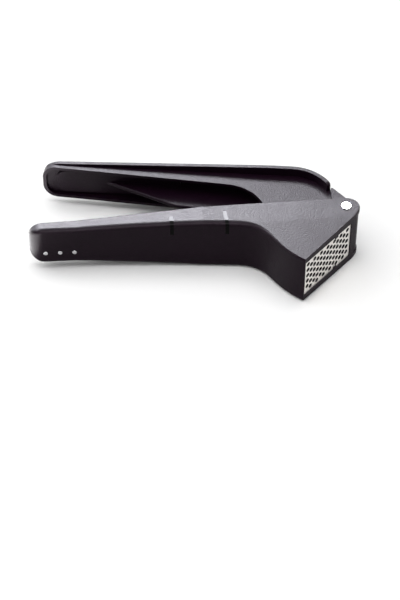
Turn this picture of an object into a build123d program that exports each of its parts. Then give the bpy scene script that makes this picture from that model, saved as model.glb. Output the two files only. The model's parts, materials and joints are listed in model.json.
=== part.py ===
"""Garlic press: a basket handle and a plunger handle hinged on one steel pin.

The press lies on its side, as it does on a table: the hinge axis is +Z, the origin
is on that axis in the resting plane, and +X runs along the basket handle's rim
towards the hinge. Sizes are in millimetres.
"""

import os
from math import atan2, cos, degrees, radians, sin, sqrt, tan

from build123d import *

os.makedirs("parts", exist_ok=True)

# Overall sizes of the basket handle
overall_length = 180.0
head_height = 33.0
grip_end_height = 24.4
taper_start = 78.0
grip_flat = 25.7
taper_blend = 300.0
hub_radius = 7.3
cheek = 3.0
wall = 2.6

# Garlic chamber and the slanted sieve face
chamber_radius = 44.2
face_angle = 44.4
face_offset = 7.7
face_lead = 12.0
neck_angle = 211.0
neck_length = 17.2
neck_radius = 21.0
grip_front = 0.3
grip_bow = 1.65
grip_end_radius = 8.5
nose_length = 8.0
nose_rise = 6.2
edge_radius = 2.6
rim_edge = 0.6
corner_radius = 0.4
cheek_draft = 2.0
draft_start = 8.0

# Window, retaining lip and sieve plate
lip_depth = 0.4
lip_height = 1.5
plate_thickness = 0.6
window_start = 5.1
window_frame = 1.0
seat_margin = 0.25
lug_width = 2.6
lug_reach = 1.3
lug_place = 18.0
sieve_fit = 0.1
flange_height = 4.0
flange_thickness = 0.6
flange_setback = 4.0
hole_diameter = 2.7
column_pitch = 2.86
row_pitch = 4.09
column_margin = 2.8
row_margin = 1.0

# Hinge pin
pin_radius = 2.2
pin_head_radius = 2.8
pin_head_height = 0.9
pin_head_seat = 1.4
pin_head_bevel = 0.3
cap_radius = 4.2
cap_depth = 1.6
spigot_radius = 1.6
spigot_length = 1.1
running_fit = 0.05
seat_fit = 0.02

# Lead-in facet in the top cheek beside the pin
facet_length = 17.2
facet_front = -0.8
facet_depth = 0.7

# Plunger handle
rest_angle = 13.6
closing_travel = 15.5
rim_offset = 14.3
lever_setback = 1.7
skin_thickness = 2.4
skin_end_offset = 18.4
skin_head_offset = 28.3
skin_straight_end = 33.0
skin_taper_start = 46.0
skin_bend_radius = 26.0
skin_bend_angle = 58.0
skin_end_height = 22.8
skin_inset = 0.3
skin_end_radius = 10.0
skin_tip_radius = 2.0
skin_edge = 0.25
tub_height = 22.0
tub_wall = 1.9
tub_end_radius = 8.0
web_thickness = 2.4
web_start = 138.0
web_knee = 94.0
web_front = 3.6
web_edge = 0.9
web_knee_radius = 14.0
flare_start = 67.0
flare_end = -3.0
arm_clearance = 0.7
hub_gap = 0.35
lever_hub_radius = 6.8
boss_reach = 1.6
boss_tip_radius = 0.8

# Land and end pocket in the grip of the plunger handle
land_setback = 7.5
land_end = 94.0
land_height = 1.2
land_margin = 1.6
land_end_radius = 6.0

# Presser head and its cross pin
press_gap = 0.5
presser_thickness = 7.0
presser_start = 7.8
presser_side_gap = 0.4
presser_edge = 0.8
tongue_depth = 4.4
tongue_start = 15.0
tongue_end = 35.0
tongue_fit = 0.05
cross_pin_radius = 1.25
cross_pin_place = 25.0
cross_pin_depth = 2.4

# Inlaid marker bands and grip studs
band_width = 2.0
band_depth = 1.0
band_drop = 8.0
outer_band_place = 95.0
outer_band_rear = 2.0
inner_band_place = 65.9
inner_band_rear = 2.4
inner_band_slant = 4.0
stud_radius = 1.2
stud_proud = 0.15
stud_depth = 1.4
stud_pitch = 7.8
stud_end = 9.1
stud_count = 3
stud_level = 12.0

# Places that follow from the sizes above
mid = head_height / 2
grip_reach = overall_length - hub_radius
taper_end = grip_reach - grip_flat
lever_reach = grip_reach - lever_setback
land_start = lever_reach - land_setback
chamber_outer = chamber_radius + wall
lead = radians(face_lead)
face_start = (face_offset * cos(lead) - hub_radius) / sin(lead)
face_length = sqrt(chamber_outer**2 - face_offset**2)
corner_angle = 360 - (90 - face_angle) - degrees(atan2(face_length, face_offset))
lip_inner = face_offset - lip_depth
plate_inner = lip_inner - plate_thickness
window_end = face_length - window_frame
seat_end = window_end + seat_margin
chamber_end = sqrt(chamber_radius**2 - plate_inner**2)
clear_half = mid - cheek
skin_head_height = head_height - 2 * skin_inset
window_half = clear_half - lip_height
facet_run = (hub_radius + wall - facet_front) / (hub_radius - facet_front)
far = 2 * overall_length
draft_drop = (far - draft_start) * tan(radians(cheek_draft))

face_dir = Vector(cos(radians(face_angle)), sin(radians(face_angle)))
face_out = Vector(sin(radians(face_angle)), -cos(radians(face_angle)))


def on_face(along, out):
    """Point at a distance along the sieve face from the hub, and out from the hinge axis."""
    return face_out * out - face_dir * along


def face_plane(out):
    """Plane parallel to the sieve face, its X running from the hub to the far corner."""
    origin = face_out * out + Vector(0, 0, mid)
    return Plane(origin=origin, x_dir=face_dir * -1, z_dir=face_out)


# Plan outline of the basket handle: rim, hub, sieve face, chamber wall, neck, grip
with BuildSketch() as basket_plan:
    with BuildLine():
        rim = Line((-grip_reach, hub_radius), (0, hub_radius))
        nose = CenterArc((0, 0), hub_radius, 90, -(180 - face_angle - face_lead))
        Polyline(nose @ 1, on_face(face_start, face_offset), on_face(face_length, face_offset))
        chamber = CenterArc((0, 0), chamber_outer, corner_angle, neck_angle - corner_angle)
        neck = Line(chamber @ 1, chamber @ 1 + (chamber % 1) * neck_length)
        grip_end = Vector(nose_length - grip_reach, grip_front)
        grip_middle = (neck @ 1 + grip_end) / 2 + Vector(0, grip_bow)
        grip = ThreePointArc(neck @ 1, grip_middle, grip_end)
        grip_nose = TangentArc(grip_end, (-grip_reach, grip_front + nose_rise), tangent=grip % 1)
        Line(grip_nose @ 1, rim @ 0)
    make_face()
    neck_corner = basket_plan.vertices().sort_by_distance(neck @ 1)[0]
    fillet(neck_corner, neck_radius)


# Side view of the basket handle: full height at the head, falling to the grip's end
with BuildSketch(Plane.XZ) as basket_side:
    with BuildLine():
        Polyline(
            (far, 0),
            (far, head_height),
            (-taper_start, head_height),
            (-taper_end, mid + grip_end_height / 2),
            (-grip_reach, mid + grip_end_height / 2),
            (-grip_reach, mid - grip_end_height / 2),
            (-taper_end, mid - grip_end_height / 2),
            (-taper_start, 0),
            close=True,
        )
    make_face()
    stations = basket_side.vertices().group_by(Axis.X)
    fillet(stations[0], grip_end_radius)
    fillet(stations[1] + stations[2], taper_blend)

# Plan of the open channel and chamber between the two cheeks
with BuildSketch() as channel_plan:
    add(basket_plan.sketch_local)
    offset(amount=-wall, kind=Kind.INTERSECTION, mode=Mode.REPLACE)
    with BuildLine():
        Polyline(
            (-grip_reach + wall, hub_radius - 2 * wall),
            (0, hub_radius - 2 * wall),
            (0, hub_radius + wall),
            (-grip_reach + wall, hub_radius + wall),
            close=True,
        )
    make_face()
    Circle(lever_hub_radius + hub_gap)
    with BuildLine():
        Polyline(
            on_face(face_start, 2 * hub_radius),
            on_face(face_start, -2 * hub_radius),
            on_face(-2 * hub_radius, -2 * hub_radius),
            on_face(-2 * hub_radius, 2 * hub_radius),
            close=True,
        )
    make_face()
    with BuildLine():
        Polyline(
            on_face(window_start, 0),
            on_face(window_start, lip_inner),
            on_face(seat_end, lip_inner),
            on_face(seat_end, plate_inner),
            on_face(chamber_end, plate_inner),
            on_face(chamber_end, 0),
            close=True,
        )
    make_face()

with BuildSketch(Plane.XZ) as channel_side:
    add(basket_side.sketch_local)
    offset(amount=-cheek, kind=Kind.INTERSECTION, mode=Mode.REPLACE)

with BuildPart() as channel:
    extrude(channel_plan.sketch, amount=head_height)
    extrude(channel_side.sketch, amount=far, both=True, mode=Mode.INTERSECT)

# Outer body of the basket handle, before it is hollowed
with BuildPart() as basket_body:
    extrude(basket_plan.sketch, amount=head_height)
    extrude(basket_side.sketch, amount=far, both=True, mode=Mode.INTERSECT)
    arcs = basket_body.edges().filter_by(GeomType.CIRCLE)
    fillet(arcs.filter_by(lambda e: abs(e.radius - chamber_outer) < 0.01), edge_radius)
    rim_face = basket_body.faces().sort_by(Axis.Y)[-1]
    fillet(rim_face.edges().filter_by(lambda e: e.length > taper_start / 2), rim_edge)
    with BuildSketch(Plane.YZ):
        with BuildLine():
            Polyline((-draft_start, 0), (-far, 0), (-far, draft_drop), close=True)
        make_face()
        mirror(about=Plane.XZ.offset(-mid))
    extrude(amount=far, both=True, mode=Mode.SUBTRACT)


def grip_point(place):
    """Point of the grip's front curve at a distance from the hinge axis."""
    start = (neck @ 1).X
    return grip @ ((start + place) / (start - grip_end.X))


def grip_top(place):
    """Height of the basket handle's top at a distance from the hinge axis."""
    fall = (head_height - grip_end_height) / 2 / (taper_end - taper_start)
    return head_height - max(0, place - taper_start) * fall


def band_section(place, rear):
    """L-shaped section of a marker band: along the top face and down the front."""
    front = grip_point(place).Y
    top = grip_top(place)
    with BuildLine() as section:
        Polyline(
            (front - wall, top - band_drop),
            (front + band_depth, top - band_drop),
            (front + band_depth, top - band_depth),
            (rear, top - band_depth),
            (rear, top + wall),
            (front - wall, top + wall),
            close=True,
        )
    return section.line


def band_plane(place, slant):
    """Plane across the grip, its X towards the rear and its Y up."""
    across = Vector(-sin(radians(slant)), cos(radians(slant)), 0)
    return Plane(origin=(-place, 0, 0), x_dir=across, z_dir=across.cross(Vector(0, 0, 1)))


with BuildPart() as outer_band:
    add(basket_body.part)
    with BuildSketch(band_plane(outer_band_place, 0)) as outer_section:
        add(band_section(outer_band_place, outer_band_rear))
        make_face()
    extrude(outer_section.sketch, amount=band_width / 2, both=True, mode=Mode.INTERSECT)

with BuildPart() as inner_band:
    add(basket_body.part)
    with BuildSketch(band_plane(inner_band_place, inner_band_slant)) as inner_section:
        add(band_section(inner_band_place, inner_band_rear))
        make_face()
    extrude(inner_section.sketch, amount=band_width / 2, both=True, mode=Mode.INTERSECT)

last_stud = grip_reach - stud_end
stud_places = [last_stud - i * stud_pitch for i in reversed(range(stud_count))]

with BuildPart() as basket_handle:
    add(basket_body.part)
    corner = basket_handle.edges().filter_by(Axis.Z).sort_by_distance(
        on_face(face_length, face_offset) + Vector(0, 0, mid)
    )[0]
    fillet(corner, corner_radius)
    add(channel.part, mode=Mode.SUBTRACT)
    add([outer_band.part, inner_band.part], mode=Mode.SUBTRACT)
    with BuildSketch(face_plane(lip_inner)):
        with Locations(((window_start + window_end) / 2, 0)):
            Rectangle(window_end - window_start, 2 * window_half)
        with Locations((lug_place, window_half), (lug_place, -window_half)):
            Rectangle(lug_width, 2 * lug_reach, mode=Mode.SUBTRACT)
    extrude(amount=2 * lip_depth, mode=Mode.SUBTRACT)
    with Locations((0, 0, head_height)):
        CounterBoreHole(pin_radius + seat_fit, pin_head_radius + seat_fit, pin_head_seat)
    with Locations(Plane.XY.rotated((180, 0, 0))):
        CounterBoreHole(pin_radius + seat_fit, cap_radius + seat_fit, cap_depth, depth=cheek)
    with BuildSketch(Plane.YZ.offset(-facet_length)):
        with BuildLine():
            Polyline(
                (facet_front, head_height),
                (hub_radius + wall, head_height),
                (hub_radius + wall, head_height - facet_depth * facet_run),
                close=True,
            )
        make_face()
    extrude(amount=facet_length + hub_radius, mode=Mode.SUBTRACT)
    for place in stud_places:
        hole = Plane(origin=grip_point(place) + Vector(0, 0, stud_level), z_dir=(0, -1, 0))
        with Locations(hole):
            Hole(stud_radius + seat_fit, stud_depth)
basket_handle.part.label = "basket_handle"
export_step(basket_handle.part, "parts/basket_handle.step")

outer_band.part.label = "outer_band"
export_step(outer_band.part, "parts/outer_band.step")
inner_band.part.label = "inner_band"
export_step(inner_band.part, "parts/inner_band.step")

# Plain round studs pressed into the grip's front
for number, place in enumerate(stud_places, start=1):
    seat = grip_point(place) + Vector(0, stud_depth, stud_level)
    with BuildPart() as grip_stud:
        with BuildSketch(Plane(origin=seat, z_dir=(0, -1, 0))):
            Circle(stud_radius)
        extrude(amount=stud_depth + stud_proud)
        fillet(grip_stud.edges().sort_by(Axis.Y)[0], stud_proud)
    grip_stud.part.label = f"grip_stud_{number}"
    export_step(grip_stud.part, f"parts/grip_stud_{number}.step")

# Sieve insert: a perforated plate with two turned-in flanges
sieve_half = clear_half - sieve_fit
sieve_start = window_start + sieve_fit
sieve_end = seat_end - sieve_fit
sieve_length = sieve_end - sieve_start
sieve_middle = (sieve_start + sieve_end) / 2
columns = int((sieve_length - 2 * column_margin) / column_pitch) + 1
row_stagger = row_pitch / 4
row_span = 2 * (window_half - row_margin - row_stagger) - hole_diameter
rows = int(row_span / row_pitch) + 1

with BuildPart() as sieve_insert:
    with BuildSketch(face_plane(plate_inner)):
        with Locations((sieve_middle, 0)):
            Rectangle(sieve_length, 2 * sieve_half)
    extrude(amount=plate_thickness)
    with BuildSketch(face_plane(plate_inner - flange_height)):
        for side in (-1, 1):
            with Locations((sieve_middle, side * (sieve_half - flange_thickness / 2))):
                Rectangle(sieve_length - 2 * flange_setback, flange_thickness)
    extrude(amount=flange_height)
    with BuildSketch(face_plane(plate_inner)):
        for column in range(columns):
            along = sieve_middle + (column - (columns - 1) / 2) * column_pitch
            shift = row_stagger * (2 * (column % 2) - 1)
            with Locations((along, shift)):
                with GridLocations(0, row_pitch, 1, rows):
                    Circle(hole_diameter / 2)
    extrude(amount=plate_thickness, mode=Mode.SUBTRACT)
sieve_insert.part.label = "sieve_insert"
export_step(sieve_insert.part, "parts/sieve_insert.step")

# Hinge pin with a flat polished head, and the cap that closes it from below
with BuildPart() as pivot_pin:
    with BuildSketch(Plane.XY.offset(head_height - pin_head_seat)):
        Circle(pin_head_radius)
    extrude(amount=pin_head_seat + pin_head_height)
    chamfer(pivot_pin.edges().sort_by(Axis.Z)[-1], pin_head_bevel)
    with BuildSketch(Plane.XY.offset(cap_depth)):
        Circle(pin_radius)
    extrude(amount=head_height - pin_head_seat - cap_depth)
    with BuildSketch(Plane.XY.offset(cap_depth)):
        Circle(spigot_radius)
    extrude(amount=-spigot_length)
pivot_pin.part.label = "pivot_pin"
export_step(pivot_pin.part, "parts/pivot_pin.step")

with BuildPart() as pivot_cap:
    with BuildSketch():
        Circle(cap_radius)
    extrude(amount=cap_depth)
    with Locations((0, 0, cap_depth)):
        Hole(spigot_radius + seat_fit, spigot_length)
pivot_cap.part.label = "pivot_cap"
export_step(pivot_cap.part, "parts/pivot_cap.step")

# Frame of the plunger handle: its X runs along the handle's own rim
turn = radians(-rest_angle)
lever_x = Vector(cos(turn), sin(turn), 0)
lever_y = Vector(-sin(turn), cos(turn), 0)
lever_plan_plane = Plane(origin=(0, 0, mid), x_dir=lever_x, z_dir=(0, 0, 1))
lever_side_plane = Plane(origin=(0, 0, mid), x_dir=lever_x, z_dir=lever_y * -1)

# The presser's face is parallel to the sieve when the press is closed
press_angle = radians(face_angle - closing_travel + rest_angle)
press_dir = Vector(cos(press_angle), sin(press_angle))
press_out = Vector(sin(press_angle), -cos(press_angle))
press_face = plate_inner - press_gap
press_back = press_face - presser_thickness
arm_radius = chamber_radius - arm_clearance
presser_half = sieve_half - flange_thickness - presser_side_gap


def on_press(along, out):
    """Point along the presser's face from the hub, and out from the hinge axis."""
    return press_out * out - press_dir * along


def arm_point(y):
    """Point of the arm's round outer edge at a height in the lever's frame."""
    return Vector(-sqrt(arm_radius**2 - y**2), y)


arm_foot = on_press(sqrt(arm_radius**2 - press_back**2), press_back)
arm_heel = on_press(presser_start, press_back)
press_axis = Axis((0, 0, 0), lever_x * press_out.X + lever_y * press_out.Y)
cross_pin_spot = on_press(cross_pin_place, press_back + cross_pin_depth)
cross_pin_plane = Plane(
    origin=lever_plan_plane.from_local_coords(cross_pin_spot),
    z_dir=(0, 0, 1),
)

# Outer curve of the back skin, from the free end to its tip beside the hub
with BuildLine() as skin_curve:
    skin_slope = (skin_head_offset - skin_end_offset) / (lever_reach - skin_straight_end)
    skin_start = Vector(-lever_reach, skin_end_offset) - Vector(1, skin_slope) * skin_thickness
    skin_line = Line(skin_start, (-skin_straight_end, skin_head_offset))
    skin_arc = JernArc(skin_line @ 1, skin_line % 1, skin_bend_radius, -skin_bend_angle)

skin_tip = skin_arc @ 1
tip_normal = (skin_arc % 1).rotate(Axis.Z, -90)
boss_tip = skin_tip + (skin_arc % 1) * boss_reach
skin_end = skin_tip + tip_normal * skin_thickness / 2


def skin_inner(place):
    """Y of the back skin's inner face at a distance from the hinge axis."""
    outer = skin_end_offset + (lever_reach - place) * skin_slope
    return outer - skin_thickness / (skin_line % 0).X


# Plan of the two side plates: back skin, rim, flare, arm and hub
with BuildSketch(lever_plan_plane) as lever_plan:
    with BuildLine():
        add(skin_curve.line)
        Polyline(skin_tip, boss_tip, (0, 0), arm_heel, arm_foot)
        flare_foot = arm_point(flare_end)
        ThreePointArc(arm_foot, arm_point((arm_foot.Y + flare_end) / 2), flare_foot)
        flare_top = Vector(-flare_start, rim_offset)
        TangentArc(flare_top, flare_foot, tangent=(1, 0))
        Polyline(flare_top, (skin_start.X, rim_offset), skin_start)
    make_face()

with BuildSketch(lever_plan_plane) as skin_plan:
    with BuildLine():
        add(skin_curve.line)
        offset(amount=skin_thickness, side=Side.RIGHT)
    make_face()

with BuildSketch(lever_plan_plane) as tub_plan:
    add(lever_plan.sketch_local)
    add(skin_plan.sketch_local, mode=Mode.SUBTRACT)

# Plan of the mid-plane web that stiffens the lever and carries the presser
with BuildSketch(lever_plan_plane) as web_plan:
    with BuildLine():
        web_end = Vector(-web_start, skin_inner(web_start))
        knee = Vector(-web_knee, web_front)
        arm_top = arm_point(web_front)
        Polyline(web_end, knee, arm_top)
        ThreePointArc(arm_top, arm_point((web_front + arm_foot.Y) / 2), arm_foot)
        Polyline(arm_foot, arm_heel, (0, 0), skin_end)
        web_top = Vector(-skin_straight_end, skin_inner(skin_straight_end))
        web_bend = skin_arc @ 0.5 + (skin_arc % 0.5).rotate(Axis.Z, -90) * skin_thickness / 2
        ThreePointArc(skin_end, web_bend, web_top)
        Line(web_top, web_end)
    make_face()
    fillet(web_plan.vertices().sort_by_distance(knee)[0], web_knee_radius)

with BuildSketch(lever_side_plane) as tub_side:
    with Locations(((far - lever_reach) / 2, 0)):
        Rectangle(far + lever_reach, tub_height)
    fillet(tub_side.vertices().group_by(Axis.X)[0], tub_end_radius)

with BuildSketch(lever_side_plane) as space_side:
    add(tub_side.sketch_local)
    offset(amount=-tub_wall, mode=Mode.REPLACE)

with BuildSketch(lever_side_plane) as skin_side:
    with BuildLine():
        Polyline(
            (far, -skin_head_height / 2),
            (-skin_taper_start, -skin_head_height / 2),
            (-lever_reach, -skin_end_height / 2),
            (-lever_reach, skin_end_height / 2),
            (-skin_taper_start, skin_head_height / 2),
            (far, skin_head_height / 2),
            close=True,
        )
    make_face()
    fillet(skin_side.vertices().group_by(Axis.X)[0], skin_end_radius)
    fillet(skin_side.vertices().group_by(Axis.X)[-2], taper_blend)

with BuildPart() as tub_space:
    extrude(tub_plan.sketch, amount=tub_height, both=True)
    extrude(space_side.sketch, amount=far, both=True, mode=Mode.INTERSECT)

with BuildPart() as back_skin:
    extrude(skin_plan.sketch, amount=head_height, both=True)
    extrude(skin_side.sketch, amount=far, both=True, mode=Mode.INTERSECT)
    tip_face = back_skin.faces().sort_by(Axis.X)[-1]
    fillet(tip_face.edges().group_by(SortBy.LENGTH)[0], skin_tip_radius)
    arcs = back_skin.edges().filter_by(GeomType.CIRCLE)
    fillet(arcs.filter_by(lambda e: e.radius > skin_bend_radius - 2 * skin_thickness), skin_edge)

with BuildPart() as web:
    extrude(web_plan.sketch, amount=web_thickness / 2, both=True)
    bends = web.edges().filter_by(GeomType.CIRCLE)
    fillet(bends.filter_by(lambda e: abs(e.radius - web_knee_radius) < 0.01), web_edge)

# Raised land on the floor of the grip, leaving a pocket at the free end
with BuildSketch(lever_plan_plane) as land_plan:
    with BuildLine():
        Polyline(
            (-land_start, skin_inner(land_start)),
            (-land_end, skin_inner(land_end)),
            (-land_end, skin_inner(land_end) - land_height),
            (-land_start, skin_inner(land_start) - land_height),
            close=True,
        )
    make_face()

with BuildSketch(lever_side_plane) as land_side:
    with Locations((-(land_start + land_end) / 2, 0)):
        Rectangle(land_start - land_end, tub_height - 2 * (tub_wall + land_margin))
    fillet(land_side.vertices().group_by(Axis.X)[0], land_end_radius)

with BuildPart() as land:
    extrude(land_plan.sketch, amount=tub_height, both=True)
    extrude(land_side.sketch, amount=far, both=True, mode=Mode.INTERSECT)


def tongue_outline(fit):
    """Outline of the tongue that keys the presser to the web, grown by a fit."""
    with BuildLine() as outline:
        Polyline(
            on_press(tongue_start - fit, press_back - web_thickness),
            on_press(tongue_end + fit, press_back - web_thickness),
            on_press(tongue_end + fit, press_back + tongue_depth + fit),
            on_press(tongue_start - fit, press_back + tongue_depth + fit),
            close=True,
        )
    return outline.line


with BuildPart() as plunger_handle:
    extrude(lever_plan.sketch, amount=tub_height, both=True)
    extrude(tub_side.sketch, amount=far, both=True, mode=Mode.INTERSECT)
    add(tub_space.part, mode=Mode.SUBTRACT)
    add(back_skin.part)
    add([web.part, land.part])
    with BuildSketch(lever_plan_plane):
        add(tongue_outline(0))
        make_face()
    extrude(amount=web_thickness / 2, both=True)
    with BuildSketch(lever_plan_plane):
        Circle(lever_hub_radius)
        with Locations(boss_tip):
            Circle(boss_tip_radius)
        make_hull()
    extrude(amount=clear_half - hub_gap, both=True)
    with Locations(lever_plan_plane):
        Hole(pin_radius + running_fit)
    with Locations(cross_pin_plane):
        Hole(cross_pin_radius + seat_fit)
plunger_handle.part.label = "plunger_handle"
export_step(plunger_handle.part, "parts/plunger_handle.step")

# Presser head, keyed on the web's tongue and held by a cross pin
with BuildPart() as presser_head:
    with BuildSketch(lever_plan_plane):
        with BuildLine():
            face_end = on_press(sqrt(arm_radius**2 - press_face**2), press_face)
            Polyline(arm_foot, arm_heel, on_press(presser_start, press_face), face_end)
            ThreePointArc(face_end, on_press(arm_radius, 0), arm_foot)
        make_face()
    extrude(amount=presser_half, both=True)
    fillet(presser_head.faces().sort_by(press_axis)[-1].edges(), presser_edge)
    with BuildSketch(lever_plan_plane):
        add(tongue_outline(tongue_fit))
        make_face()
    extrude(amount=web_thickness / 2 + tongue_fit, both=True, mode=Mode.SUBTRACT)
    with Locations(cross_pin_plane):
        Hole(cross_pin_radius + seat_fit)
presser_head.part.label = "presser_head"
export_step(presser_head.part, "parts/presser_head.step")

with BuildPart() as presser_pin:
    with BuildSketch(cross_pin_plane):
        Circle(cross_pin_radius)
    extrude(amount=presser_half, both=True)
presser_pin.part.label = "presser_pin"
export_step(presser_pin.part, "parts/presser_pin.step")
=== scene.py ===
"""Looks of a garlic press: materials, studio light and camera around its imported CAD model."""

import json
import logging
import math
from dataclasses import dataclass, field
from enum import Enum
from typing import Any

import bpy
from mathutils import Matrix, Vector

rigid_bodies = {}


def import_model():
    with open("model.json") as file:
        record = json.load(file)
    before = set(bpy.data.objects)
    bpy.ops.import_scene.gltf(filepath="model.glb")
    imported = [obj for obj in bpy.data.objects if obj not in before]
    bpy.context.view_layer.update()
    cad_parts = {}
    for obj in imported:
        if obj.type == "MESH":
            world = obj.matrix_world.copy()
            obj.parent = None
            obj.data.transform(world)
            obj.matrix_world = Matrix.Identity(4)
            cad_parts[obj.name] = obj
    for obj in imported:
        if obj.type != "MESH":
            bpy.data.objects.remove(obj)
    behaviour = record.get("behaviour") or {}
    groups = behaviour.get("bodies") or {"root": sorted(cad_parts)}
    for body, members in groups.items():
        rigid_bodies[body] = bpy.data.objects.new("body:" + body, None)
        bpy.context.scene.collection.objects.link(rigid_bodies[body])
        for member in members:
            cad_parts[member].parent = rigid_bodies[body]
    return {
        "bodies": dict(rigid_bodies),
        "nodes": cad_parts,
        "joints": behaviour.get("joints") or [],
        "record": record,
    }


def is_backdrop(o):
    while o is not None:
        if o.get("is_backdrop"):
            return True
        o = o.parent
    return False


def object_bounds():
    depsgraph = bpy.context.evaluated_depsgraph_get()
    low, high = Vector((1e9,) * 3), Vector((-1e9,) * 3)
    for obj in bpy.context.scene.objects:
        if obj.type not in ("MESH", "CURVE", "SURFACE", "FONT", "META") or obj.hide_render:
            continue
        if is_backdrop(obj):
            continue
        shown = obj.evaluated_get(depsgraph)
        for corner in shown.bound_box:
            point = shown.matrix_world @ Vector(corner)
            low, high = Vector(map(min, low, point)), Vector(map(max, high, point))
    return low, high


log = logging.getLogger("garlic_press")

IMAGE_HEIGHT = 600

Color = tuple[float, float, float, float]
LightColor = tuple[float, float, float]
Pair = tuple[float, float]
Frame = dict[str, Any]
Socket = bpy.types.NodeSocket
Signal = Socket | float | Color | Vector

# A Mix node has sockets of the same name for every data type, so those for colours go by index
MIX_FACTOR = 0
MIX_FIRST_COLOR = 6
MIX_SECOND_COLOR = 7
MIX_RESULT_COLOR = 2

# A camera with no tilt looks straight down, and this many degrees raise it to the horizon
HORIZON_TILT = 90.0

UPWARD = Vector((0.0, 0.0, 1.0))


class Finish(Enum):
    """Finishes of the press: the record's slots, and darker copies for the lever and the studs, which
    paint shade on them.
    """

    BLACK_NYLON = "black_nylon"
    SHADED_LEVER_NYLON = "lever_nylon_shaded"
    DARK_NYLON = "dark_nylon"
    GLOSS_BLACK = "gloss_black"
    SIEVE_STEEL = "sieve_steel"
    PIN_STEEL = "pin_steel"
    POLISHED_STEEL = "polished_steel"
    SHADED_STUD_STEEL = "stud_steel_shaded"


@dataclass(frozen=True)
class GrainSpec:
    """Grain of a surface, as read by the grain node group.

    Attributes:
        scale: Grains per metre of the fine noise.
        low_color: Base colour in the grain's valleys.
        high_color: Base colour on the grain's peaks.
        rough_low: Roughness in the valleys.
        rough_high: Roughness on the peaks.
        bump: Height of the grain, in metres.
        streak: Factor on the coordinates along X, Y and Z; below 1 the grain is drawn out.
    """

    scale: float
    low_color: Color
    high_color: Color
    rough_low: float
    rough_high: float
    bump: float
    streak: tuple[float, float, float] = (1.0, 1.0, 1.0)


@dataclass(frozen=True)
class MaterialSpec:
    """Everything that one finish needs.

    Attributes:
        finish: The finish, whose value names the material.
        grain: Grain of the surface.
        metallic: 1 for metal, 0 for plastic.
        specular: Specular level of the shader.
    """

    finish: Finish
    grain: GrainSpec
    metallic: float = 0.0
    specular: float = 0.5


@dataclass(frozen=True)
class SieveSpec:
    """The perforated plate in the slanted window.

    Attributes:
        node: Name of its CAD node.
        face_angle: Turn of its front about Z, from facing -Y towards +X, in degrees.
        thickness: Thickness of the plate, in metres.
    """

    node: str
    face_angle: float
    thickness: float


@dataclass(frozen=True)
class BoreShadeSpec:
    """Painted shade on the walls of the holes through a polished plate, and on the steel flanges behind
    it, which are darkened so that they show no glint.

    Attributes:
        facing: Direction that the plate's front faces.
        front: Distance of the front from the origin along that direction, in metres.
        thickness: Thickness of the plate, in metres.
        bright_edge: Depth of the polished edge at each face, in metres.
        flange_shade_edge: Distance behind the plate from which its flanges get painted shade, in
            metres.
        color: Base colour of the painted shade on the walls and the flanges.
    """

    facing: Vector
    front: float
    thickness: float
    bright_edge: float = 0.00006
    flange_shade_edge: float = 0.00024
    color: Color = (0.012, 0.012, 0.012, 1.0)


@dataclass(frozen=True)
class SoftboxSpec:
    """One rectangular studio light.

    Attributes:
        name: Name of the light object.
        position: Centre of the light, in metres.
        target: Point that the light faces.
        size: Width and height, in metres.
        power: Power in watts.
        color: Light colour.
        reflection_only: True for a panel that shows in reflections and lights nothing else.
    """

    name: str
    position: Vector
    target: Vector
    size: Pair
    power: float
    color: LightColor = (1.0, 1.0, 1.0)
    reflection_only: bool = False

    @classmethod
    def floor_card(cls, name: str, position: Vector, size: Pair, power: float) -> "SoftboxSpec":
        """Makes a small card that lies face up and shows in reflections alone.

        Args:
            name: Name of the light object.
            position: Centre of the card, in metres.
            size: Width and depth, in metres.
            power: Power in watts.

        Returns:
            The card.
        """
        return cls(name, position, position + UPWARD, size, power, reflection_only=True)


@dataclass(frozen=True)
class CameraSpec:
    """Camera fitted to the photo.

    Attributes:
        position: Place of the lens, in metres.
        azimuth: Turn about Z from looking along +Y, in degrees.
        pitch: Downward tilt, in degrees.
        focal_px: Focal length in pixels of the photo.
        sensor_height: Height of the sensor, in millimetres.
        clip: Nearest and farthest distance that is seen, in metres.
    """

    position: Vector
    azimuth: float
    pitch: float
    focal_px: float
    sensor_height: float = 36.0
    clip: Pair = (0.01, 50.0)


@dataclass(frozen=True)
class SurroundSpec:
    """Floor and world around the press.

    Attributes:
        floor_size: Side of the square floor, in metres.
        floor_color: Base colour of the floor.
        world_color: Colour of the world.
        world_light: Strength of the world as light.
        world_seen: Strength of the world to the camera, in reflections and through glass.
    """

    floor_size: float = 8.0
    floor_color: Color = (0.92, 0.92, 0.92, 1.0)
    world_color: Color = (1.0, 1.0, 1.0, 1.0)
    world_light: float = 0.4
    world_seen: float = 1.0


NYLON_VALLEY: Color = (0.0035, 0.0007, 0.003, 1.0)
NYLON_PEAK: Color = (0.0075, 0.0016, 0.0065, 1.0)

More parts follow.
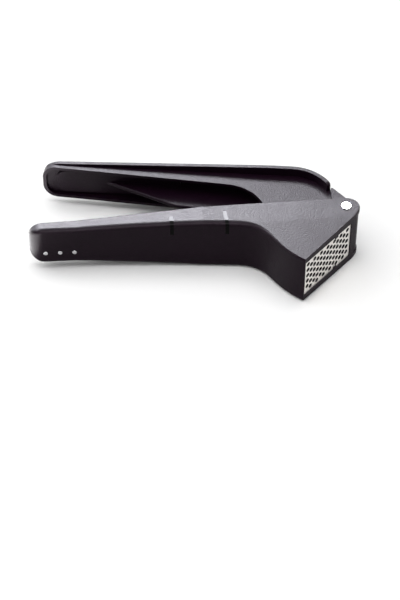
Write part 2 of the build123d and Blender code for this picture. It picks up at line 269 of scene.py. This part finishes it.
MATERIALS: tuple[MaterialSpec, ...] = (
    MaterialSpec(
        Finish.BLACK_NYLON,
        GrainSpec(
            scale=1350.0,
            low_color=NYLON_VALLEY,
            high_color=NYLON_PEAK,
            rough_low=0.28,
            rough_high=0.44,
            bump=0.000045,
        ),
        specular=0.07,
    ),
    # A copy of the black nylon that reflects less, as painted shade on the lever.
    MaterialSpec(
        Finish.SHADED_LEVER_NYLON,
        GrainSpec(
            scale=1350.0,
            low_color=NYLON_VALLEY,
            high_color=NYLON_PEAK,
            rough_low=0.30,
            rough_high=0.44,
            bump=0.00007,
        ),
        specular=0.055,
    ),
    MaterialSpec(
        Finish.DARK_NYLON,
        GrainSpec(
            scale=900.0,
            low_color=(0.011, 0.009, 0.011, 1.0),
            high_color=(0.018, 0.016, 0.018, 1.0),
            rough_low=0.34,
            rough_high=0.46,
            bump=0.00002,
        ),
        specular=0.08,
    ),
    MaterialSpec(
        Finish.GLOSS_BLACK,
        GrainSpec(
            scale=500.0,
            low_color=(0.0008, 0.0008, 0.0008, 1.0),
            high_color=(0.0015, 0.0015, 0.0015, 1.0),
            rough_low=0.05,
            rough_high=0.1,
            bump=0.000002,
        ),
        specular=0.035,
    ),
    MaterialSpec(
        Finish.SIEVE_STEEL,
        GrainSpec(
            scale=900.0,
            low_color=(0.58, 0.555, 0.53, 1.0),
            high_color=(0.79, 0.765, 0.73, 1.0),
            rough_low=0.24,
            rough_high=0.36,
            bump=0.000008,
            streak=(1.0, 1.0, 0.06),
        ),
        metallic=1.0,
    ),
    MaterialSpec(
        Finish.PIN_STEEL,
        GrainSpec(
            scale=900.0,
            low_color=(0.52, 0.52, 0.52, 1.0),
            high_color=(0.66, 0.66, 0.66, 1.0),
            rough_low=0.3,
            rough_high=0.4,
            bump=0.000006,
            streak=(0.1, 0.1, 1.0),
        ),
        metallic=1.0,
    ),
    MaterialSpec(
        Finish.POLISHED_STEEL,
        GrainSpec(
            scale=700.0,
            low_color=(0.80, 0.80, 0.80, 1.0),
            high_color=(0.90, 0.90, 0.90, 1.0),
            rough_low=0.1,
            rough_high=0.2,
            bump=0.000003,
        ),
        metallic=1.0,
    ),
    # A darker copy of the polished steel, as painted shade on the studs.
    MaterialSpec(
        Finish.SHADED_STUD_STEEL,
        GrainSpec(
            scale=700.0,
            low_color=(0.34, 0.34, 0.35, 1.0),
            high_color=(0.46, 0.46, 0.47, 1.0),
            rough_low=0.15,
            rough_high=0.25,
            bump=0.000003,
        ),
        metallic=1.0,
    ),
)

# Nodes that wear a darker copy of their slot's finish, as painted shade: the lever's nylon reflects
# less, and the studs' steel is darker.
SHADED_COPY_FINISH: dict[str, Finish] = {
    "grip_stud": Finish.SHADED_STUD_STEEL,
    "plunger_handle": Finish.SHADED_LEVER_NYLON,
}

SIEVE = SieveSpec("sieve_insert", face_angle=44.4, thickness=0.0006)

COOL_WHITE: LightColor = (0.925, 0.93, 1.0)
PRESS_MIDDLE = Vector((-0.10, 0.0, 0.02))
PRESS_FOOT = Vector((-0.10, 0.0, 0.0))
GRIP_END = Vector((-0.17, 0.0, 0.03))

SOFTBOXES: tuple[SoftboxSpec, ...] = (
    SoftboxSpec(
        "rear_panel",
        position=Vector((-0.32, 0.88, 0.87)),
        target=PRESS_MIDDLE,
        size=(1.0, 0.31),
        power=140.0,
        color=COOL_WHITE,
        reflection_only=True,
    ),
    SoftboxSpec(
        "left_rear_panel",
        position=Vector((-0.82, 0.72, 0.30)),
        target=GRIP_END,
        size=(0.75, 0.60),
        power=15.0,
        color=COOL_WHITE,
        reflection_only=True,
    ),
    SoftboxSpec(
        "left_panel",
        position=Vector((-0.985, 0.30, 0.88)),
        target=GRIP_END,
        size=(1.0, 0.36),
        power=40.0,
        color=COOL_WHITE,
        reflection_only=True,
    ),
    SoftboxSpec(
        "front_panel",
        position=Vector((-0.10, -0.98, 0.88)),
        target=PRESS_MIDDLE,
        size=(1.6, 0.5),
        power=26.0,
        reflection_only=True,
    ),
    SoftboxSpec(
        "right_panel",
        position=Vector((0.85, 0.30, 0.83)),
        target=PRESS_MIDDLE,
        size=(1.4, 0.5),
        power=36.0,
        reflection_only=True,
    ),
    SoftboxSpec.floor_card(
        "left_card",
        position=Vector((-0.2305, -0.01, 0.003)),
        size=(0.109, 0.22),
        power=0.85,
    ),
    SoftboxSpec.floor_card(
        "lever_card",
        position=Vector((-0.1715, 0.052, 0.002)),
        size=(0.016, 0.05),
        power=0.026,
    ),
    SoftboxSpec.floor_card(
        "gap_card",
        position=Vector((-0.165, 0.028, 0.002)),
        size=(0.06, 0.03),
        power=0.011,
    ),
    SoftboxSpec(
        "left_softbox",
        position=Vector((-0.95, 0.12, 0.80)),
        target=PRESS_FOOT,
        size=(1.2, 0.8),
        power=5.5,
    ),
    SoftboxSpec(
        "rear_softbox",
        position=Vector((-0.45, 0.75, 0.95)),
        target=PRESS_FOOT,
        size=(1.2, 0.8),
        power=3.0,
    ),
    SoftboxSpec(
        "top_softbox",
        position=Vector((-0.10, 0.05, 1.50)),
        target=PRESS_FOOT,
        size=(1.3, 1.3),
        power=14.0,
    ),
)

CAMERA = CameraSpec(
    position=Vector((-0.1476, -0.7204, 0.7171)),
    azimuth=-5.4,
    pitch=46.0,
    focal_px=1850.0,
)


@dataclass(frozen=True)
class Wiring:
    """Adds to a node tree the small nodes that several trees use.

    Attributes:
        tree: Node tree that takes the nodes.
    """

    tree: bpy.types.NodeTree

    def feed(self, socket: Socket, signal: Signal) -> None:
        """Links an input, or sets its value.

        Args:
            socket: The input.
            signal: An output to link, or a value to set.
        """
        if isinstance(signal, Socket):
            self.tree.links.new(signal, socket)
        else:
            socket.default_value = signal

    def math(self, operation: str, *signals: Signal, clamp: bool = False) -> Socket:
        """Adds a sum, product or other operation on numbers.

        Args:
            operation: Blender's name of the operation.
            signals: What the inputs take, in their order.
            clamp: True to keep the result between 0 and 1.

        Returns:
            The result.
        """
        node = self.tree.nodes.new("ShaderNodeMath")
        node.operation = operation
        node.use_clamp = clamp
        for socket, signal in zip(node.inputs, signals):
            self.feed(socket, signal)
        return node.outputs["Value"]

    def remap(
        self,
        value: Socket,
        source: Pair = (0.0, 1.0),
        result: tuple[Signal, Signal] = (0.0, 1.0),
    ) -> Socket:
        """Adds a step from one range of numbers to another.

        Args:
            value: The number to map.
            source: Lowest and highest number that come in.
            result: What these two become.

        Returns:
            The mapped number, which stays within the result's range.
        """
        node = self.tree.nodes.new("ShaderNodeMapRange")
        names = ("Value", "From Min", "From Max", "To Min", "To Max")
        for name, signal in zip(names, (value, *source, *result)):
            self.feed(node.inputs[name], signal)
        return node.outputs["Result"]

    def mix(self, factor: Socket, first: Signal, second: Signal) -> Socket:
        """Adds a mix of two colours.

        Args:
            factor: Share of the second colour.
            first: Colour at 0.
            second: Colour at 1.

        Returns:
            The mixed colour.
        """
        node = self.tree.nodes.new("ShaderNodeMix")
        node.data_type = "RGBA"
        self.feed(node.inputs[MIX_FACTOR], factor)
        self.feed(node.inputs[MIX_FIRST_COLOR], first)
        self.feed(node.inputs[MIX_SECOND_COLOR], second)
        return node.outputs[MIX_RESULT_COLOR]

    def noise(self, place: Socket, scale: Socket, detail: float, roughness: float) -> Socket:
        """Adds a noise.

        Args:
            place: Coordinates of the surface.
            scale: Scale of the noise.
            detail: Octaves of the noise.
            roughness: Weight of the finer octaves.

        Returns:
            The noise, which varies about 0.5.
        """
        node = self.tree.nodes.new("ShaderNodeTexNoise")
        names = ("Vector", "Scale", "Detail", "Roughness")
        for name, signal in zip(names, (place, scale, detail, roughness)):
            self.feed(node.inputs[name], signal)
        return node.outputs["Fac"]


@dataclass
class GrainGroup:
    """Shader node group that turns a surface's own coordinates into grain.

    Attributes:
        name: Name of the group.
        fine_detail: Octaves of the fine grain.
        fine_roughness: Weight of its finer octaves.
        fine_span: Noise in the grain's valleys and on its peaks.
        fine_share: Share of the fine grain in colour and roughness.
        mottle_scale: Scale of the coarse mottle, as a part of the grain's.
        mottle_detail: Octaves of the mottle.
        mottle_roughness: Weight of its finer octaves.
        mottle_share: Share of the mottle in colour and roughness.
        tree: The group itself.
    """

    name: str = "surface_grain"
    fine_detail: float = 1.0
    fine_roughness: float = 0.6
    fine_span: Pair = (0.3, 0.7)
    fine_share: float = 0.75
    mottle_scale: float = 0.06
    mottle_detail: float = 2.0
    mottle_roughness: float = 0.5
    mottle_share: float = 0.35
    tree: bpy.types.ShaderNodeTree = field(init=False)

    def __post_init__(self) -> None:
        """Builds the group once."""
        self.tree = bpy.data.node_groups.new(self.name, "ShaderNodeTree")
        self._add_sockets()
        self._add_nodes()

    def _add_sockets(self) -> None:
        face = self.tree.interface
        face.new_socket("Vector", in_out="INPUT", socket_type="NodeSocketVector")
        for name in ("Scale", "Rough Low", "Rough High"):
            face.new_socket(name, in_out="INPUT", socket_type="NodeSocketFloat")
        for name in ("Low Color", "High Color"):
            face.new_socket(name, in_out="INPUT", socket_type="NodeSocketColor")
        face.new_socket("Color", in_out="OUTPUT", socket_type="NodeSocketColor")
        for name in ("Roughness", "Height"):
            face.new_socket(name, in_out="OUTPUT", socket_type="NodeSocketFloat")

    def _add_nodes(self) -> None:
        """Links fine grain, coarse mottle and the values that they drive."""
        wiring = Wiring(self.tree)
        given = self.tree.nodes.new("NodeGroupInput").outputs
        target = self.tree.nodes.new("NodeGroupOutput").inputs

        fine = wiring.noise(given["Vector"], given["Scale"], self.fine_detail, self.fine_roughness)
        height = wiring.remap(fine, self.fine_span)
        coarse = wiring.math("MULTIPLY", given["Scale"], self.mottle_scale)
        mottle = wiring.noise(given["Vector"], coarse, self.mottle_detail, self.mottle_roughness)

        fine_part = wiring.math("MULTIPLY", height, self.fine_share)
        level = wiring.math("MULTIPLY_ADD", mottle, self.mottle_share, fine_part, clamp=True)
        color = wiring.mix(level, given["Low Color"], given["High Color"])
        roughness = wiring.remap(level, result=(given["Rough Low"], given["Rough High"]))

        wiring.feed(target["Color"], color)
        wiring.feed(target["Roughness"], roughness)
        wiring.feed(target["Height"], height)


class MaterialFactory:
    """Makes one procedural material per finish."""

    def __init__(self, group: GrainGroup) -> None:
        """Keeps the shared grain group.

        Args:
            group: Node group that every material reads its grain from.
        """
        self.group = group

    def build(self, spec: MaterialSpec, bore_shade: BoreShadeSpec | None = None) -> bpy.types.Material:
        """Builds a material.

        Args:
            spec: Finish and grain of the material.
            bore_shade: Painted shade on the walls of the holes, where the finish is a perforated
                plate's.

        Returns:
            The new material, named after its finish.
        """
        material = bpy.data.materials.new(spec.finish.value)
        material.use_nodes = True
        nodes = material.node_tree.nodes
        wiring = Wiring(material.node_tree)
        shader = nodes["Principled BSDF"]
        shader.inputs["Metallic"].default_value = spec.metallic
        shader.inputs["Specular IOR Level"].default_value = spec.specular

        place = nodes.new("ShaderNodeTexCoord").outputs["Object"]
        stretch = nodes.new("ShaderNodeMapping")
        wiring.feed(stretch.inputs["Vector"], place)
        wiring.feed(stretch.inputs["Scale"], spec.grain.streak)

        grain = self._add_grain(wiring, stretch.outputs["Vector"], spec.grain)
        bump = nodes.new("ShaderNodeBump")
        wiring.feed(bump.inputs["Distance"], spec.grain.bump)
        wiring.feed(bump.inputs["Height"], grain["Height"])

        color = grain["Color"]
        # Painted shade on the walls of the holes and on the flanges behind the plate.
        if bore_shade is not None:
            color = self._paint_bore_shade(wiring, place, color, bore_shade)
        wiring.feed(shader.inputs["Base Color"], color)
        wiring.feed(shader.inputs["Roughness"], grain["Roughness"])
        wiring.feed(shader.inputs["Normal"], bump.outputs["Normal"])
        return material

    def _add_grain(self, wiring: Wiring, place: Socket, spec: GrainSpec) -> bpy.types.NodeOutputs:
        """Places the grain group in a material.

        Args:
            wiring: Adds the nodes.
            place: Coordinates of the surface, drawn out as the grain is.
            spec: Values of the grain.

        Returns:
            The group's outputs.
        """
        grain = wiring.tree.nodes.new("ShaderNodeGroup")
        grain.node_tree = self.group.tree
        wiring.feed(grain.inputs["Vector"], place)
        wiring.feed(grain.inputs["Scale"], spec.scale)
        wiring.feed(grain.inputs["Low Color"], spec.low_color)
        wiring.feed(grain.inputs["High Color"], spec.high_color)
        wiring.feed(grain.inputs["Rough Low"], spec.rough_low)
        wiring.feed(grain.inputs["Rough High"], spec.rough_high)
        return grain.outputs

    def _paint_bore_shade(self, wiring: Wiring, place: Socket, polished: Socket, bore_shade: BoreShadeSpec) -> Socket:
        """Paints shade on the walls of a plate's holes and on its hidden flanges.

        Args:
            wiring: Adds the nodes.
            place: The surface's own coordinates.
            polished: Colour of the plate's faces.
            bore_shade: Place and colour of the painted shade on the walls.

        Returns:
            The colour of the whole plate.
        """
        half = bore_shade.thickness / 2
        along = wiring.tree.nodes.new("ShaderNodeVectorMath")
        along.operation = "DOT_PRODUCT"
        wiring.feed(along.inputs[0], place)
        wiring.feed(along.inputs[1], bore_shade.facing)

        # Within bright_edge of each face the plate keeps its colour; deeper in the holes, and on the
        # flanges behind it, shade is painted.
        offset = wiring.math("SUBTRACT", along.outputs["Value"], bore_shade.front - half)
        depth = wiring.math("ABSOLUTE", offset)
        face = wiring.remap(depth, (half - bore_shade.bright_edge, half))
        plate = wiring.remap(offset, (-half - bore_shade.flange_shade_edge, -half - bore_shade.bright_edge))
        bright = wiring.math("MULTIPLY", face, plate)
        return wiring.mix(bright, bore_shade.color, polished)


@dataclass(frozen=True)
class Studio:
    """Floor, world, lights and camera.

    Attributes:
        camera: Camera fitted to the photo.
        surround: Floor and world.
        softboxes: Lights of the studio.
    """

    camera: CameraSpec
    surround: SurroundSpec
    softboxes: tuple[SoftboxSpec, ...]

    def build(self) -> None:
        """Builds the whole studio."""
        bpy.context.scene.view_settings.view_transform = "Standard"
        self._add_camera()
        self._add_world()
        self._add_floor()
        for spec in self.softboxes:
            self._add_softbox(spec)

    def _add_camera(self) -> None:
        """Adds the camera and makes it the scene's own."""
        data = bpy.data.cameras.new("photo_camera")
        data.sensor_fit = "VERTICAL"
        data.sensor_height = self.camera.sensor_height
        data.lens = self.camera.focal_px / IMAGE_HEIGHT * data.sensor_height
        data.clip_start, data.clip_end = self.camera.clip
        lens = bpy.data.objects.new("photo_camera", data)
        turn = Matrix.Rotation(math.radians(self.camera.azimuth), 4, "Z")
        tilt = Matrix.Rotation(math.radians(HORIZON_TILT - self.camera.pitch), 4, "X")
        lens.matrix_world = Matrix.Translation(self.camera.position) @ turn @ tilt
        bpy.context.scene.collection.objects.link(lens)
        bpy.context.scene.camera = lens

    def _add_world(self) -> None:
        """Sets a plain white world, white to the camera and softer as light."""
        world = bpy.data.worlds.new("studio")
        world.use_nodes = True
        nodes = world.node_tree.nodes
        wiring = Wiring(world.node_tree)
        path = nodes.new("ShaderNodeLightPath").outputs
        seen = path["Is Camera Ray"]
        for ray in ("Is Glossy Ray", "Is Transmission Ray"):
            seen = wiring.math("MAXIMUM", seen, path[ray])
        strength = wiring.remap(seen, result=(self.surround.world_light, self.surround.world_seen))
        wiring.feed(nodes["Background"].inputs["Color"], self.surround.world_color)
        wiring.feed(nodes["Background"].inputs["Strength"], strength)
        bpy.context.scene.world = world

    def _add_floor(self) -> None:
        """Adds the pale floor that the press lies on."""
        bpy.ops.object.select_all(action="DESELECT")
        bpy.ops.mesh.primitive_plane_add(size=self.surround.floor_size, location=(0.0, 0.0, 0.0))
        floor = bpy.context.active_object
        floor.name = "floor"
        material = bpy.data.materials.new("floor_white")
        material.use_nodes = True
        shader = material.node_tree.nodes["Principled BSDF"]
        shader.inputs["Base Color"].default_value = self.surround.floor_color
        shader.inputs["Roughness"].default_value = 1.0
        shader.inputs["Specular IOR Level"].default_value = 0.0
        floor.data.materials.append(material)
        floor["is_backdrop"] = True

    def _add_softbox(self, spec: SoftboxSpec) -> None:
        """Adds one area light.

        Args:
            spec: Place, size and power of the light.
        """
        data = bpy.data.lights.new(spec.name, "AREA")
        data.shape = "RECTANGLE"
        data.size, data.size_y = spec.size
        data.energy = spec.power
        data.color = spec.color
        lamp = bpy.data.objects.new(spec.name, data)
        aim = (spec.target - spec.position).to_track_quat("-Z", "Y")
        lamp.matrix_world = Matrix.Translation(spec.position) @ aim.to_matrix().to_4x4()
        bpy.context.scene.collection.objects.link(lamp)
        lamp.visible_camera = False
        lamp.visible_diffuse = not spec.reflection_only


class GarlicPressScene:
    """The press with its materials, in its studio."""

    def __init__(self, frame: Frame) -> None:
        """Keeps the loaded frame and its box.
        """
        self.frame = frame
        self.cad_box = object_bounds()

    def build(self) -> None:
        """Dresses the press and builds the studio."""
        self._dress()
        Studio(CAMERA, SurroundSpec(), SOFTBOXES).build()
        self._write_sizes()

    def _dress(self) -> None:
        """Gives every CAD node the material of its finish."""
        factory = MaterialFactory(GrainGroup())
        # The sieve's hole walls and flanges get painted shade.
        bore_shade = {Finish.SIEVE_STEEL: self._sieve_bore_shade()}
        library = {spec.finish: factory.build(spec, bore_shade.get(spec.finish)) for spec in MATERIALS}
        for entry in self.frame["record"]["subparts"]:
            finish = self._finish_of(entry["node"], entry["material_slot"])
            materials = self.frame["nodes"][entry["node"]].data.materials
            materials.clear()
            materials.append(library[finish])
            log.info("%s wears %s", entry["node"], finish.value)

    def _finish_of(self, node: str, slot: str) -> Finish:
        """Chooses a node's finish.

        Args:
            node: Name of the CAD node.
            slot: Its material slot in the record.

        Returns:
            Its darker copy of a finish, which paints shade, where it has one, and otherwise its slot's.
        """
        own = (finish for prefix, finish in SHADED_COPY_FINISH.items() if node.startswith(prefix))
        return next(own, Finish(slot))

    def _sieve_bore_shade(self) -> BoreShadeSpec:
        """Finds the sieve's front in the frame.

        Returns:
            The painted shade on the walls of the sieve's holes and on its flanges.
        """
        angle = math.radians(SIEVE.face_angle)
        facing = Vector((math.sin(angle), -math.cos(angle), 0.0))
        corners = self.frame["nodes"][SIEVE.node].data.vertices
        front = max(corner.co.dot(facing) for corner in corners)
        return BoreShadeSpec(facing, front, SIEVE.thickness)

    def _write_sizes(self) -> None:
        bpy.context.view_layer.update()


def main() -> None:
    """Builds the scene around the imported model."""
    logging.basicConfig(level=logging.INFO)
    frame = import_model()
    GarlicPressScene(frame).build()


if __name__ == "__main__":
    main()
